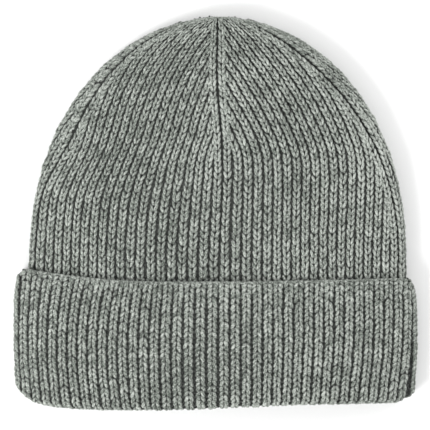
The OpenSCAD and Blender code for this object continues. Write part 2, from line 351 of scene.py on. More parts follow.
class Gore:
    """A quarter of the body between two darts, and where its ribs run at each station.

    Where the quarter narrows, its ribs keep their width and end at a dart. Each stage is an anchor, the
    share of the width where the ribs stay in place, with the weight of the stage at each station.
    """

    def __init__(self, lo, hi, count, slants, stages, even=False):
        self.lo, self.hi, self.count = lo, hi, count
        self.width = hi - lo
        narrowing = np.concatenate([[0], -np.diff(np.log(self.width))])
        self.fill, self.offset = np.ones(len(lo)), np.zeros(len(lo))
        for anchor, weight in stages:
            full = np.exp(np.cumsum(weight * narrowing))
            fill = 1 + (GATHER - 1) * (1 - np.exp(-(full - 1) / (GATHER - 1)))
            self.offset = anchor + (self.offset - anchor) * fill
            self.fill = self.fill * fill
        self.narrowed = self.fill > 1.004
        edge = self.width * self.fill / count
        slope = -np.gradient(self.width) / np.maximum(np.gradient(STATION_Y), 0.05)
        slant = np.sqrt(1 + np.where(self.narrowed, np.clip(slope, 0, 1.6), 0) ** 2)
        self.edge_lo = edge * (slant if slants[0] else 1)
        self.edge_hi = edge * (slant if slants[1] else 1)
        self.bend_t = self.bend_to = np.linspace(0, 1, 400)
        if even:
            ends = body_skin.at(0, np.array([lo[0], hi[0]]))[0][:, 0]
            self.bend_t, x = even_table(*ends, lambda x: 1 + 0.2 * bell(((x + 13) / 45.0) ** 2))
            self.bend_to = (body_skin.front_distance(0, x) - lo[0]) / self.width[0]

    def share(self, t, station):
        """Share of the width for rib places t; below the crown the ribs are even as seen from above."""
        bent = np.interp(t, self.bend_t, self.bend_to)
        bent = np.where((t >= 0) & (t <= 1), bent, t)
        return t + (bent - t) * (1 - CROWN_PART[station])

    def line(self, k):
        """Distance round at each station of the line k ribs in from lo, and where it is alive."""
        t = self.offset + k / self.count * self.fill
        s = self.lo + self.width * self.share(t, STATIONS)
        inside = (s > self.lo + self.edge_lo * EDGE_TUCK) & (s < self.hi - self.edge_hi * EDGE_TUCK)
        return s, inside | ~self.narrowed

    def rib(self, k):
        """The same for the middle of rib k, from 0 to count - 1; the first and last never end."""
        if 0 < k < self.count - 1:
            return self.line(k + 0.5)
        s, _ = self.line(k + 0.5)
        along_lo, along_hi = self.lo + self.edge_lo / 2 + DART_GAP, self.hi - self.edge_hi / 2 - DART_GAP
        return np.where(self.narrowed, along_lo if k == 0 else along_hi, s), np.ones(len(s), bool)

    def rib_width(self, k, stop):
        """Width of rib k at the stations up to stop."""
        if k == 0:
            return np.where(self.narrowed, self.edge_lo, self.line(1.0)[0] - self.lo)[:stop]
        if k == self.count - 1:
            return np.where(self.narrowed, self.edge_hi, self.hi - self.line(self.count - 1.0)[0])[:stop]
        return (self.line(k + 1.0)[0] - self.line(k + 0.0)[0])[:stop]

    def crest(self, station, t):
        """1 over the middle of a rib and 0 in a valley, for places t of the ground layer."""
        i = np.broadcast_to(station, t.shape)
        x = self.width[i] * self.share(t, i)
        phase = (t - self.offset[i]) / self.fill[i] * self.count % 1.0
        lo, hi, width = self.edge_lo[i], self.edge_hi[i], self.width[i]
        phase = np.where(self.narrowed[i] & (x < lo), x / lo, phase)
        phase = np.where(self.narrowed[i] & (x > width - hi), (width - x) / hi, phase)
        return 0.5 - 0.5 * np.cos(2 * np.pi * phase)


def make_gores():
    drift = 0.8 + 1.4 * bell((STATION_Y - 130) / 30) - 2.0 * smooth((STATION_Y - 140) / 45)
    front = body_skin.distance(np.zeros(len(STATION_Y))) + drift
    left = body_skin.distance(left_dart())
    right = body_skin.distance(right_dart())
    none = np.zeros(len(STATION_Y))
    crown = KEEP * smooth((STATION_Y - 129.0) / 18.0)
    upright = smooth((STATION_Y - CROWN_START) / 15.0) * (1 - crown / KEEP)
    return {
        "back_left": Gore(none, left, BACK_RIBS, (False, True), [(0.5, crown)]),
        "front_left": Gore(left, front, FRONT_RIBS, (True, False), [(0.35, crown)], even=True),
        "front_right": Gore(
            front, right, FRONT_RIBS, (False, True), [(0.0, upright), (0.66, crown)], even=True,
        ),
        "back_right": Gore(right, body_skin.girth, BACK_RIBS, (True, False), [(0.5, crown)]),
    }


gores = make_gores()
FRONT_MIDDLE = float(gores["front_right"].lo[0])


# ---- yarn and cloth meshes ----
class Mesh:
    """Collects tubes and sheets of one piece, with its colour attributes and its two UV maps."""

    def __init__(self):
        self.blocks = []

    def add(self, points, quads, tris, tone, shade, bake_uv, yarn_uv, weight):
        """UVs are per corner: four for each quad, then three for each triangle."""
        self.blocks.append((points, quads, tris, tone, shade, bake_uv, yarn_uv, weight))

    def build(self, name, material, body, slot):
        points, quads, tris, tones, shades, bake, yarn, weights = zip(*self.blocks)
        starts = running([len(p) for p in points[:-1]])
        corners = [(face + start).ravel() for q, t, start in zip(quads, tris, starts) for face in (q, t)]
        sizes = [np.full(len(face), face.shape[1]) for pair in zip(quads, tris) for face in pair]
        shares = np.array(weights) / sum(weights)
        floors = running(shares[:-1])
        bake = [uv * [1, share] + [0, low] for uv, share, low in zip(bake, shares, floors)]
        points = np.concatenate(points)
        # stitches placed along the back of the crown's edge would dip up to 1.2 mm into the ground
        points[:, 2] = np.maximum(points[:, 2], GROUND_CLEAR)
        points = place(points)
        corners = np.concatenate(corners).astype(np.int32)
        sizes = np.concatenate(sizes)
        mesh = bpy.data.meshes.new(name)
        mesh.vertices.add(len(points))
        mesh.vertices.foreach_set("co", points.astype(np.float32).ravel())
        mesh.loops.add(len(corners))
        mesh.loops.foreach_set("vertex_index", corners)
        mesh.polygons.add(len(sizes))
        starts = running(sizes[:-1])
        mesh.polygons.foreach_set("loop_start", starts.astype(np.int32))
        for label, values in (("OFBake", bake), ("yarn", yarn)):
            layer = mesh.uv_layers.new(name=label)
            layer.data.foreach_set("uv", np.concatenate(values).astype(np.float32).ravel())
        mesh.uv_layers.active = mesh.uv_layers["OFBake"]
        # shade holds painted shade, and tone holds the yarn's tone with painted light on the knit
        for label, values in (("tone", tones), ("shade", shades)):
            attribute = mesh.attributes.new(label, "FLOAT", "POINT")
            attribute.data.foreach_set("value", np.concatenate(values).astype(np.float32))
        mesh.update(calc_edges=True)
        mesh.shade_smooth()
        mesh.materials.append(material)
        piece = add_object(name, mesh)
        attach(piece, body)
        return piece


def add_tubes(mesh, centre, up, half_w, half_h, tone, deep=None, sides=5, weight=1.0, cap=0.6):
    """Adds closed tubes: centre and up are [tubes, rings, 3], half_w and half_h are [tubes, rings].

    deep is how far each ring lies below the face of the knit; it sets the painted shade that darkens the
    yarn's deep side.
    """
    n, rings, _ = centre.shape
    along = unit(np.gradient(centre, axis=1))
    side = unit(np.cross(along, up))
    top = np.cross(side, along)
    angle = -np.pi / 2 + 2 * np.pi * np.arange(sides) / sides
    wide = (half_w[..., None] * np.cos(angle))[..., None] * side[:, :, None]
    tall = (half_h[..., None] * np.sin(angle))[..., None] * top[:, :, None]
    body = (centre[:, :, None] + wide + tall).reshape(n, rings * sides, 3)
    start = centre[:, 0] - along[:, 0] * half_h[:, :1] * cap
    end = centre[:, -1] + along[:, -1] * half_h[:, -1:] * cap
    points = np.concatenate([body, start[:, None], end[:, None]], axis=1)
    size = rings * sides + 2
    i, j = (g.ravel() for g in np.meshgrid(np.arange(rings - 1), np.arange(sides), indexing="ij"))
    after = (j + 1) % sides
    near, far = i * sides, (i + 1) * sides
    quad = np.stack([near + j, far + j, far + after, near + after], axis=1)
    ring = np.arange(sides)
    after_ring = (ring + 1) % sides
    last = (rings - 1) * sides
    tri = np.concatenate([
        np.stack([np.full(sides, size - 2), ring, after_ring], axis=1),
        np.stack([np.full(sides, size - 1), last + after_ring, last + ring], axis=1),
    ])
    offset = (np.arange(n) * size)[:, None, None]
    quads = (quad[None] + offset).reshape(-1, 4)
    tris = (tri[None] + offset).reshape(-1, 3)

    # each tube has a cell of its own in the bake map, and runs round once and along in the yarn map
    u0, u1 = j / sides, (j + 1) / sides
    v0, v1 = (i + 1) / (rings + 1), (i + 2) / (rings + 1)
    quad_uv = np.stack([u0, v0, u0, v1, u1, v1, u1, v0], axis=1).reshape(-1, 4, 2)
    r0, r1 = ring / sides, (ring + 1) / sides
    middle, zero = (r0 + r1) / 2, ring * 0.0
    low, high = zero + 1 / (rings + 1), zero + rings / (rings + 1)
    tri_uv = np.concatenate([
        np.stack([middle, zero, r0, low, r1, low], axis=1),
        np.stack([middle, zero + 1, r1, high, r0, high], axis=1),
    ]).reshape(-1, 3, 2)
    cells = max(1, math.ceil(math.sqrt(n)))
    cell = np.stack([np.arange(n) % cells, np.arange(n) // cells], axis=1)[:, None, None]
    grid = np.array([cells, math.ceil(n / cells)])
    inset = 0.04
    length = norm(np.diff(centre, axis=1), axis=2).sum(axis=1)
    roll = rng.random(n)[:, None, None, None] * np.array([1.0, 7.0])
    stretch = np.stack([np.ones(n), length], axis=1)[:, None, None]
    bake, yarn = [], []
    for uv in (quad_uv, tri_uv):
        bake.append(((cell + inset + uv[None] * (1 - 2 * inset)) / grid).reshape(-1, 2))
        yarn.append((uv[None] * stretch + roll).reshape(-1, 2))

    # painted shade, kept in the shade attribute: yarn is painted darker the deeper it lies, and a tube
    # without deep is painted darker on its underside than on its top
    if deep is None:
        shade = np.repeat((0.55 + 0.45 * np.sin(angle))[None], n * rings, axis=0).reshape(n, -1)
    else:
        depth = deep[..., None] - half_h[..., None] * np.sin(angle)
        shade = 1 - smooth((depth - 0.15) / 1.75).reshape(n, -1)
    # the tips of the caps get full painted shade
    shade = np.concatenate([shade, np.zeros((n, 2))], axis=1).ravel()
    mesh.add(
        points.reshape(-1, 3), quads, tris, np.repeat(tone, size), shade,
        np.concatenate(bake), np.concatenate(yarn), weight,
    )


def add_sheet(mesh, outer, inner, closed=False, weight=1.0):
    """Adds a sheet between two grids [rows, columns, 3]; closed joins its last column to its first."""
    rows, columns, _ = outer.shape
    points = np.concatenate([outer.reshape(-1, 3), inner.reshape(-1, 3)])
    n = rows * columns
    span = columns if closed else columns - 1
    i, j = (g.ravel() for g in np.meshgrid(np.arange(rows - 1), np.arange(span), indexing="ij"))
    nxt = (j + 1) % columns
    a, b, c, d = i * columns + j, i * columns + nxt, (i + 1) * columns + nxt, (i + 1) * columns + j
    cj = np.arange(span)
    cn = (cj + 1) % columns
    top = (rows - 1) * columns
    quads = [
        np.stack([a, b, c, d], 1),
        n + np.stack([a, d, c, b], 1),
        np.stack([cj, n + cj, n + cn, cn], 1),
        np.stack([top + cj, top + cn, n + top + cn, n + top + cj], 1),
    ]
    if not closed:
        left = np.arange(rows - 1) * columns
        right = left + columns - 1
        quads.append(np.stack([left, left + columns, n + left + columns, n + left], 1))
        quads.append(np.stack([right, n + right, n + right + columns, right + columns], 1))
    quads = np.concatenate(quads)

    # the outer face fills the left half of the bake map, and the inner face the right half
    down = quads % n // columns
    across = quads % columns
    wrapped = across.max(axis=1, keepdims=True) - across.min(axis=1, keepdims=True) > columns / 2
    across = np.where(closed & wrapped & (across == 0), columns, across)
    half = np.where(quads >= n, 0.5, 0.0)
    uv = np.stack([across / columns * 0.49 + half, down / max(1, rows - 1)], axis=-1)
    yarn = np.stack([across * 1.0, down * 1.0], axis=-1)
    # the sheet's painted shade is an even half all over
    mesh.add(
        points, quads, np.zeros((0, 3), int), np.full(2 * n, 0.45), np.full(2 * n, 0.5),
        uv.reshape(-1, 2), yarn.reshape(-1, 2), weight,
    )


# ---- heathered tone, with painted light ----
STREAK = 9.0  # length of a streak in millimetres
STREAKS = rng.normal(size=(260, 90))
WAVES = rng.random((6, 4))


def heather_and_painted_light(row, s, y):
    """Tone of the yarn, about 0 to 1: streaks along each course and patches, and painted light that raises
    it towards the right.
    """
    row = np.asarray(row, int) % len(STREAKS)
    t = np.asarray(s, float) / STREAK % (STREAKS.shape[1] - 1)
    j = t.astype(int)
    f = smooth(t - j)
    streak = STREAKS[row, j] * (1 - f) + STREAKS[row, j + 1] * f
    patch = sum(np.sin(s * (0.02 + 0.05 * a) + y * (0.02 + 0.05 * b) + 6.28 * c) for a, b, c, _ in WAVES)
    # the last term is painted light, raising the tone towards the right
    return 0.5 + 0.045 * streak + 0.02 * patch + 0.04 * np.tanh((s - 240) / 45.0)


def wander(s, y):
    """Slow sideways drift of the ribs, in millimetres."""
    return sum(
        (0.12 + 0.1 * d) * np.sin(s * 0.03 * (1 + a) + y * (0.04 + 0.06 * b) + 6.28 * c)
        for a, b, c, d in WAVES[:4]
    )


# ---- stitches ----
def follow(points, normals, at):
    """Points and the directions up, onward and sideways, at distances at along a path."""
    run = path_run(points)

    def look(table, where):
        return np.stack([np.interp(where, run, table[:, k]) for k in range(3)], axis=-1)

    reach = 0.4
    ahead = look(points, np.minimum(at + reach, run[-1]))
    travel = unit(ahead - look(points, np.maximum(at - reach, 0)))
    up = unit(look(normals, at))
    return look(points, at), up, travel, unit(np.cross(travel, up))


def add_rib(mesh, points, normals, width, row_height, tone_at, sink=0.0, first=0.0, last=None, plain=False):
    """One rib: a chain of stitches along a path, each with two legs that open away from its start.

    width is the rib's width along the path and sink how far it lies under its neighbours. Only the
    stitches whose middles lie between distances first and last are made.
    """
    run = path_run(points)
    count = max(1, round(run[-1] / row_height))
    row_height = run[-1] / count
    middle = (np.arange(count) + 0.5) * row_height
    keep = (middle >= first) & (middle < (run[-1] if last is None else last))
    if not keep.any():
        return
    row = np.arange(count)[keep]
    n = len(row)
    middle = middle[keep] + rng.normal(0, 0.05 * row_height, n) + rng.normal(0, 0.08) * row_height
    rings = 4 if plain else 6
    t = np.linspace(0, 1, rings)[None]
    length = row_height * 1.45 * (1 + rng.normal(0, 0.05, (n, 1)))
    drift = rng.normal(0, 0.12, n)[:, None]
    for hand in (-1, 1):
        at = np.clip(middle[:, None] + (t - 0.45) * length + rng.normal(0, 0.2, (n, 1)), 0, run[-1])
        p, up, _, side = follow(points, normals, at)
        w = np.clip(np.interp(at, run, width) / RIB, 0.15, 1.5)
        fat = rng.normal(1.0, 0.07, (n, 1))
        open_ = 0.52 + 1.18 * smooth(t) * (1 + rng.normal(0, 0.10, (n, 1)))
        bow = (2 * t - 1) ** 2
        dip = bow * (0.35 if plain else np.where(t < 0.5, 1.25, 0.55))
        depth = 0.85 * np.sqrt(w) + dip + 0.12 * open_ ** 2 * w
        depth = depth + rng.normal(0, 0.10, (n, 1)) + np.interp(at, run, np.broadcast_to(sink, run.shape))
        taper = fat * (1 - 0.45 * (2 * t - 1) ** 4)
        lean = unit(up + side * (hand * 0.3 * open_)[..., None])
        tone = tone_at(row, middle) + rng.normal(0, 0.07, n)
        centre = p + side * (hand * open_ * w + drift)[..., None] - up * depth[..., None]
        wide, thick, sides = (0.95, 0.72, 4) if plain else (0.94, 0.78, 6)
        add_tubes(
            mesh, centre, lean, wide * w * taper, thick * np.sqrt(w) * taper, tone, depth,
            sides=sides, weight=n,
        )


def add_bars(mesh, points, normals, row_height, tone_at, first=0.0):
    """The short purl bars that cross a valley, along the path of its floor."""
    run = path_run(points)
    middle = np.arange(0.5 * row_height + first, run[-1] - 0.5 * row_height, row_height)
    if not len(middle):
        return
    n = len(middle)
    middle = middle + rng.normal(0, 0.1 * row_height, n)
    p, up, travel, side = follow(points, normals, middle)
    reach = np.array([-1, 0, 1])
    slant = rng.normal(0.45, 0.2, n)
    deep = 1.55 + 0.3 * np.abs(reach)[None] + rng.normal(0, 0.12, (n, 1))
    centre = (
        p[:, None] + side[:, None] * (1.35 * reach)[None, :, None]
        + travel[:, None] * (slant[:, None] * reach)[..., None] - up[:, None] * deep[..., None]
    )
    girth = np.full((n, 3), 0.58) * np.array([0.8, 1.0, 0.8])
    tone = tone_at(np.arange(n), middle) + rng.normal(0, 0.08, n)
    up = np.repeat(up[:, None], 3, axis=1)
    add_tubes(mesh, centre, up, girth, girth, tone, deep, sides=4, weight=n * 0.6)


# ---- materials ----
class Nodes:
    """A material with its Principled shader, and short ways to add and link nodes."""

    def __init__(self, name, roughness, specular, sheen):
        self.material = bpy.data.materials.new(name)
        self.material.use_nodes = True
        self.tree = self.material.node_tree
        self.shader = self.tree.nodes["Principled BSDF"]
        self.feed(self.shader, {
            "Roughness": roughness, "Specular IOR Level": specular,
            "Sheen Weight": sheen, "Sheen Roughness": 0.6,
        })

    def feed(self, node, values):
        """Links or sets the inputs of a node, by name or by place."""
        for key, value in values.items():
            if hasattr(value, "is_output"):
                self.tree.links.new(value, node.inputs[key])
            else:
                node.inputs[key].default_value = value

    def new(self, kind, **values):
        node = self.tree.nodes.new(f"ShaderNode{kind}")
        self.feed(node, values)
        return node

    def maths(self, operation, *values):
        node = self.new("Math")
        node.operation = operation
        self.feed(node, dict(enumerate(values)))
        return node.outputs[0]

    def spread(self, source, amount):
        """A noise, made to vary by amount round 0."""
        return self.maths("MULTIPLY_ADD", source, amount, -amount / 2)

    def attribute(self, name):
        node = self.new("Attribute")
        node.attribute_name = name
        return node.outputs["Fac"]

    def noise(self, vector, scale, detail=2.0):
        return self.new("TexNoise", Vector=vector, Scale=scale, Detail=detail).outputs["Fac"]

    def wave(self, vector, direction, scale, distortion):
        node = self.new("TexWave", Vector=vector, Scale=scale, Distortion=distortion)
        node.bands_direction = direction
        return node.outputs["Fac"]

    def object_space(self):
        return self.new("TexCoord").outputs["Object"]

    def yarn_space(self, scale=(1, 1, 1)):
        uv = self.new("UVMap")
        uv.uv_map = "yarn"
        return self.new("Mapping", Vector=uv.outputs["UV"], Scale=scale).outputs["Vector"]

    def ramp(self, source, stops):
        node = self.new("ValToRGB", Fac=source)
        elements = node.color_ramp.elements
        while len(elements) < len(stops):
            elements.new(0.5)
        for element, (position, colour) in zip(elements, stops):
            element.position = position
            element.color = (*colour, 1)
        return node.outputs["Color"]

    def darken(self, colour, factor):
        """Multiplies a colour by a grey factor."""
        grey = self.new("CombineColor", Red=factor, Green=factor, Blue=factor)
        mix = self.new("Mix")
        mix.data_type = "RGBA"
        mix.blend_type = "MULTIPLY"
        self.feed(mix, {"Factor": 1.0, "A": colour, "B": grey.outputs["Color"]})
        return mix.outputs["Result"]

    def bump(self, height, strength, distance):
        node = self.new("Bump", Strength=strength, Distance=distance, Height=height)
        self.feed(self.shader, {"Normal": node.outputs["Normal"]})


def knit_material(name, dark, mid, light, darkest_painted_shade):
    """Heathered yarn: tone by stitch, mottled fibres along the strands, and a soft two-ply twist, with
    painted shade from the shade attribute darkening the colour.
    """
    m = Nodes(name, 0.95, 0.12, 0.15)
    space = m.object_space()
    fibres = m.noise(m.yarn_space((7.0, 0.55, 1.0)), 1.0, 3.0)
    tone = m.attribute("tone")
    for source, amount in ((m.noise(space, 2300.0), 2.7), (fibres, 1.4), (m.noise(space, 110.0), 0.35)):
        tone = m.maths("ADD", tone, m.spread(source, amount))
    colour = m.ramp(tone, ((0.12, dark), (0.5, mid), (0.88, light)))
    # painted shade: the colour is darkened by the shade attribute, down to the given darkest factor where
    # it is 0
    depth = m.maths("MULTIPLY_ADD", m.attribute("shade"), 1 - darkest_painted_shade, darkest_painted_shade)
    m.feed(m.shader, {"Base Color": m.darken(colour, depth)})

    # the two plies twist round the strand as they run along it
    round_, along = m.new("SeparateXYZ", Vector=m.yarn_space()).outputs[:2]
    turn = m.maths("MULTIPLY_ADD", along, 0.7, m.maths("MULTIPLY", round_, 2.0))
    ply = m.maths("ABSOLUTE", m.maths("SINE", m.maths("MULTIPLY", turn, math.pi)))
    m.bump(m.maths("MULTIPLY_ADD", ply, 0.35, m.maths("MULTIPLY", fibres, 0.8)), 0.8, 0.0003)
    return m.material


def label_material():
    """White satin ribbon with a fine weave, and softly mottled."""
    m = Nodes("label_ribbon", 0.55, 0.4, 0.2)
    space = m.object_space()
    weft, warp = m.wave(space, "Y", 700.0, 0.6), m.wave(space, "X", 900.0, 0.0)
    weave = m.maths("MULTIPLY_ADD", weft, 0.6, m.maths("MULTIPLY", warp, 0.4))
    tone = m.maths("MULTIPLY_ADD", m.noise(space, 160.0, 3.0), 0.5, m.maths("MULTIPLY", weave, 0.5))
    colour = m.ramp(tone, ((0.2, (0.66, 0.66, 0.63)), (0.75, (0.84, 0.84, 0.81))))
    m.feed(m.shader, {"Base Color": colour})
    m.bump(weave, 0.5, 0.0001)
    return m.material


knit = knit_material(
    "heather_knit", (0.075, 0.090, 0.075), (0.276, 0.303, 0.270), (0.566, 0.598, 0.554), 0.03,
)
# painted shade: the ground layer and the purl bars on it are coloured far darker than the outer yarn, and
# further darkened by the shade attribute, standing in for the shade deep in the valleys between the ribs
ground = knit_material(
    "ground_knit_painted_shade", (0.015, 0.018, 0.015), (0.042, 0.047, 0.041), (0.11, 0.12, 0.108), 0.5,
)
seam_yarn = knit_material("seam_yarn", (0.08, 0.09, 0.08), (0.21, 0.23, 0.205), (0.38, 0.40, 0.37), 0.25)
thread = knit_material("label_thread", (0.14, 0.15, 0.14), (0.30, 0.32, 0.29), (0.5, 0.52, 0.49), 0.5)
ribbon = label_material()


# ---- the body ----
def line_path(s, alive):
    """Points, normals and directions round along a line on the body, up to where it ends."""
    end = len(s) if alive.all() else max(2, int(np.argmin(alive)))
    s = s[:end] + wander(s[:end], STATION_Y[:end]) * 0.6
    points, normals, across = body_skin.at(STATIONS[:end], s)
    return points, normals, across, s


def end_sink(points, alive):
    """A rib that ends at a dart sinks under the edge rib over its last few millimetres."""
    if alive.all():
        return 0.0
    return 0.9 * (1 - smooth(norm(points - points[-1], axis=1) / 3.5))


def body_tone_and_painted_light(s):
    def tone(row, at):
        here = np.interp(at, STATION_Y[:len(s)] - BODY_START, s)
        out = (here - FRONT_MIDDLE) / 75.0
        # painted light: the tone is raised towards the sides, to the right and towards the crown, standing
        # in for stronger light falling there
        painted_light = smooth(np.abs(out)) + smooth(out) + smooth((at - 90.0) / 60.0)
        return heather_and_painted_light(row, here, at) + 0.035 * painted_light

    return tone


def body_ground(mesh, gore):
    """The thin layer of knit between the outer and the inner ribs of a gore."""
    rows = np.concatenate([np.arange(0, len(STATION_Y) - 1, 2), [len(STATION_Y) - 1]])
    t = np.broadcast_to(np.linspace(0, 1, gore.count * 6 + 1), (len(rows), gore.count * 6 + 1))
    s = gore.lo[rows][:, None] + gore.width[rows][:, None] * gore.share(t, rows[:, None])
    points, normals, _ = body_skin.at(rows[:, None], s)
    crest = gore.crest(rows[:, None], t)[..., None]
    outer = points - normals * (2.00 - 0.40 * crest)
    inner = points - normals * (2.45 - 0.35 * crest)
    add_sheet(mesh, outer, inner, weight=1500)
    return cloth_size((outer + inner) / 2)


def cloth_size(grid):
    """Greatest width and length, and the area, of a layer of cloth, in metres."""
    across, down = np.diff(grid, axis=1), np.diff(grid, axis=0)
    width = norm(across, axis=2).sum(axis=1).max() / MM
    length = norm(down, axis=2).sum(axis=0).max() / MM
    cells = norm(np.cross(across[:-1], down[:, :-1]), axis=2).sum() / MM ** 2
    return float(width), float(length), float(min(cells, width * length))


def body_pieces(name, gore):
    """The ground layer, the stitches and the inner ribs of one quarter of the body."""
    base, low, crown, inside = Mesh(), Mesh(), Mesh(), Mesh()
    width, length, area = body_ground(base, gore)
    split = CROWN_START - BODY_START
    for k in range(gore.count):
        line, alive = gore.rib(k)
        points, normals, across, s = line_path(line, alive)
        travel = unit(np.gradient(points, axis=0))
        straight = norm(np.cross(travel, across), axis=1)
        rib_width = gore.rib_width(k, len(points)) * np.clip(straight, 0.3, 1)
        sink = end_sink(points, alive)
        tone = body_tone_and_painted_light(s)
        add_rib(low, points, normals, rib_width, BODY_ROW, tone, sink, last=split)
        add_rib(crown, points, normals, rib_width, BODY_ROW, tone, sink, first=split)
        if k == 0:
            continue
        line, alive = gore.line(float(k))
        points, normals, across, s = line_path(line, alive)
        rib_width = gore.rib_width(k, len(points)) * 0.95
        add_bars(base, points, normals, BODY_ROW, body_tone_and_painted_light(s))
        add_rib(
            inside, points - normals * KNIT_T, -normals, rib_width, BODY_ROW, body_tone_and_painted_light(s),
            end_sink(points, alive), plain=True,
        )
    # the ground layer and its purl bars take the ground material, whose dark colour is painted shade
    parts = {"ground": base, "lower_stitches": low, "crown_stitches": crown, "inner_ribs": inside}
    pieces = [
        mesh.build(f"panel_{name}_{part}", ground if mesh is base else knit, "hat", "body_knit")
        for part, mesh in parts.items()
    ]
    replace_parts(pieces[0], f"panel_{name}")


for gore_name, gore in gores.items():
    body_pieces(gore_name, gore)


# ---- the cuff ----
RIM_R = CUFF_T / 2
FOLD_TURN = np.linspace(0, math.pi, 15)
RIM_TURN = np.linspace(math.pi * 0.62, 0, 8)
FRONT_REACH = 107.5  # the front's ribs are even, as seen from above, within this of the middle


def cuff_lean(x, y):
    """How far the ribs of the cuff lean sideways, most of all in the left half."""
    above = ((y - 33) / 26) ** 2
    below = 0.35 * ((33 - y) / 23) ** 2
    left = 2.5 * bell((x + 68) / 42) * np.where(y > 33, above, below)
    return left - 2.2 * smooth((x - 15) / 70) * (1 - smooth(y / 44))


def cuff_lay(r):
    """Distance round each station of the cuff for rib places r, as [places, stations]."""
    table_t, table_x = even_table(-FRONT_REACH, FRONT_REACH, lambda x: 1 + 0.17 * bell((x + 8) / 27))
    front = np.interp((r - BACK_RIBS) / (2 * FRONT_RIBS), table_t, table_x)
    s = np.empty((len(r), len(CUFF_Y)))
    for i, y in enumerate(CUFF_Y):
        narrow = 1 - 0.012 * (1 - smooth(y / 26.0))
        ends = cuff_skin.front_distance(i, np.array([-FRONT_REACH, FRONT_REACH]) * narrow)
        middle = cuff_skin.front_distance(i, (front + cuff_lean(front, y)) * narrow)
        left = ends[0] * r / BACK_RIBS
        right = ends[1] + (cuff_skin.girth[i] - ends[1]) * (r - RIBS + BACK_RIBS) / BACK_RIBS
        s[:, i] = np.where(r < BACK_RIBS, left, np.where(r > RIBS - BACK_RIBS, right, middle))
    return s


def cuff_trace(r):
    """The knit's path at rib places r: over the rim, down the outside and round the fold."""
    s = cuff_lay(r)
    last = len(CUFF_Y) - 1
    outside, normal, _ = cuff_skin.at(np.arange(last + 1)[None], s)
    rim, rim_up = outside[:, -1], normal[:, -1]
    rim_way = unit(outside[:, -1] - outside[:, -3])
    turn = RIM_TURN[None, :, None]
    arc = rim_up[:, None] * np.cos(turn) + rim_way[:, None] * np.sin(turn)
    over = rim[:, None] + RIM_R * (arc - rim_up[:, None])
    low = outside[:, 0]
    inside, inner_up, _ = body_skin.at(0, s[:, 0] / cuff_skin.girth[0] * body_skin.girth[0])
    inside = inside - inner_up * KNIT_T
    inside[:, 1] = low[:, 1]
    mid, half = (low + inside) / 2, (low - inside) / 2
    turn = FOLD_TURN[None, 1:, None]
    bottom = mid[:, None] + half[:, None] * np.cos(turn) - np.array([0, FOLD_R, 0]) * np.sin(turn)
    return np.concatenate([over[:, :-1], outside[:, ::-1], bottom], axis=1)


def cuff_path(r):
    """Points, the normals that point out of the knit, and the ribs' width, at rib places r."""
    points = cuff_trace(r)
    across = cuff_trace(np.minimum(r + 0.2, RIBS)) - cuff_trace(np.maximum(r - 0.2, 0))
    travel = np.gradient(points, axis=1)
    width = norm(across, axis=2) / 0.4
    width = np.where((r[:, None] < 0.2) | (r[:, None] > RIBS - 0.2), width * 2, width)
    width = width * (1 + 0.30 * bell((np.arange(width.shape[1]) - 4) / 9.0))
    return points, unit(np.cross(travel, across)), width


def cuff_ground(mesh):
    r = np.arange(RIBS * 6) / 6
    points, normals, _ = cuff_path(r)
    crest = (0.5 - 0.5 * np.cos(2 * np.pi * r))[:, None, None]
    rim = len(RIM_TURN) - 1
    fold = rim + len(CUFF_Y) - 1
    steps = np.concatenate([np.arange(rim, fold, 2), np.arange(fold, points.shape[1])])
    outer, inner = (
        (points - normals * depth)[:, steps].transpose(1, 0, 2)[::-1]
        for depth in (2.00 - 0.40 * crest, 2.50 - 0.30 * crest)
    )
    add_sheet(mesh, outer, inner, closed=True, weight=2500)
    return cloth_size((outer + inner) / 2)


def rope(mesh, centre, up, across, strand, spread, lay, tone, weight):
    """Two strands twisted together along a path [rings, 3]; lay is the length of one turn."""
    run = path_run(centre)
    for start in (0.0, np.pi):
        turn = 2 * np.pi * run / lay + start
        line = centre + spread * (across * np.cos(turn)[:, None] + up * np.sin(turn)[:, None])
        girth = np.full((1, len(line)), strand)
        add_tubes(mesh, line[None], up[None], girth, girth, np.full(1, tone), weight=weight)


